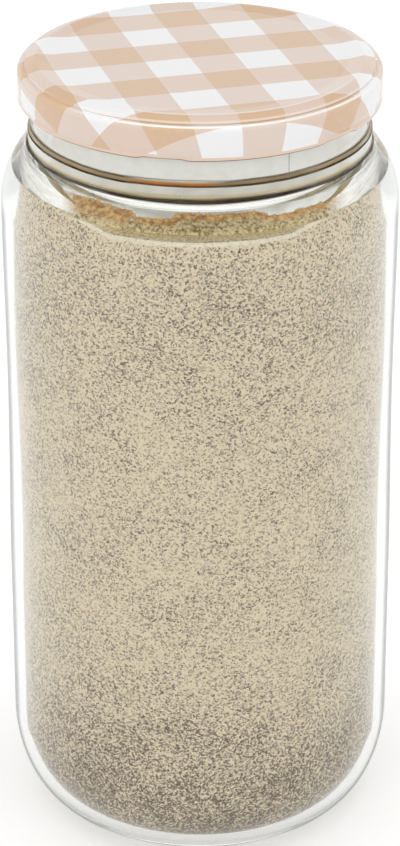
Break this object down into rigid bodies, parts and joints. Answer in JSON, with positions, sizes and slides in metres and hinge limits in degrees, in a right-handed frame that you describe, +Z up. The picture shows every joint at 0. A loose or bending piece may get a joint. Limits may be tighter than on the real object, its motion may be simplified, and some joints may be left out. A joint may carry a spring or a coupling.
{
  "type": "sourdough starter jar",
  "caption": "Tall round clear glass jar with a rounded heel, a gingham twist lid held by lugs, a sealing ring in the lid and a filling of risen sourdough starter.",
  "frame": {"origin": "centre of the base, on the surface that the jar stands on", "axes": "+Z up along the jar's axis, towards the lid; -Y towards the viewer of the picture; +X to the viewer's right"},
  "size_m": [0.0944, 0.0944, 0.1953],
  "materials": {
    "clear_glass": "smooth clear container glass",
    "starter": "moist beige starter with a fine grain and small pits",
    "seal": "soft cream sealing compound",
    "printed_lid": "glossy lacquered tinplate with a beige and white gingham print"
  },
  "bodies": {
    "jar": {"glass_jar": "clear_glass", "starter": "starter"},
    "seal": {"sealing_ring": "seal"},
    "lid": {"lid": "printed_lid"}
  },
  "joints": [
    {"name": "lid_lift", "type": "slide", "parent": "jar", "child": "seal", "axis": [0, 0, 1], "range_m": [0, 0.06]},
    {"name": "lid_twist", "type": "hinge", "parent": "seal", "child": "lid", "pos_m": [0, 0, 0.19], "axis": [0, 0, 1], "range_deg": [-30, 0]}
  ]
}
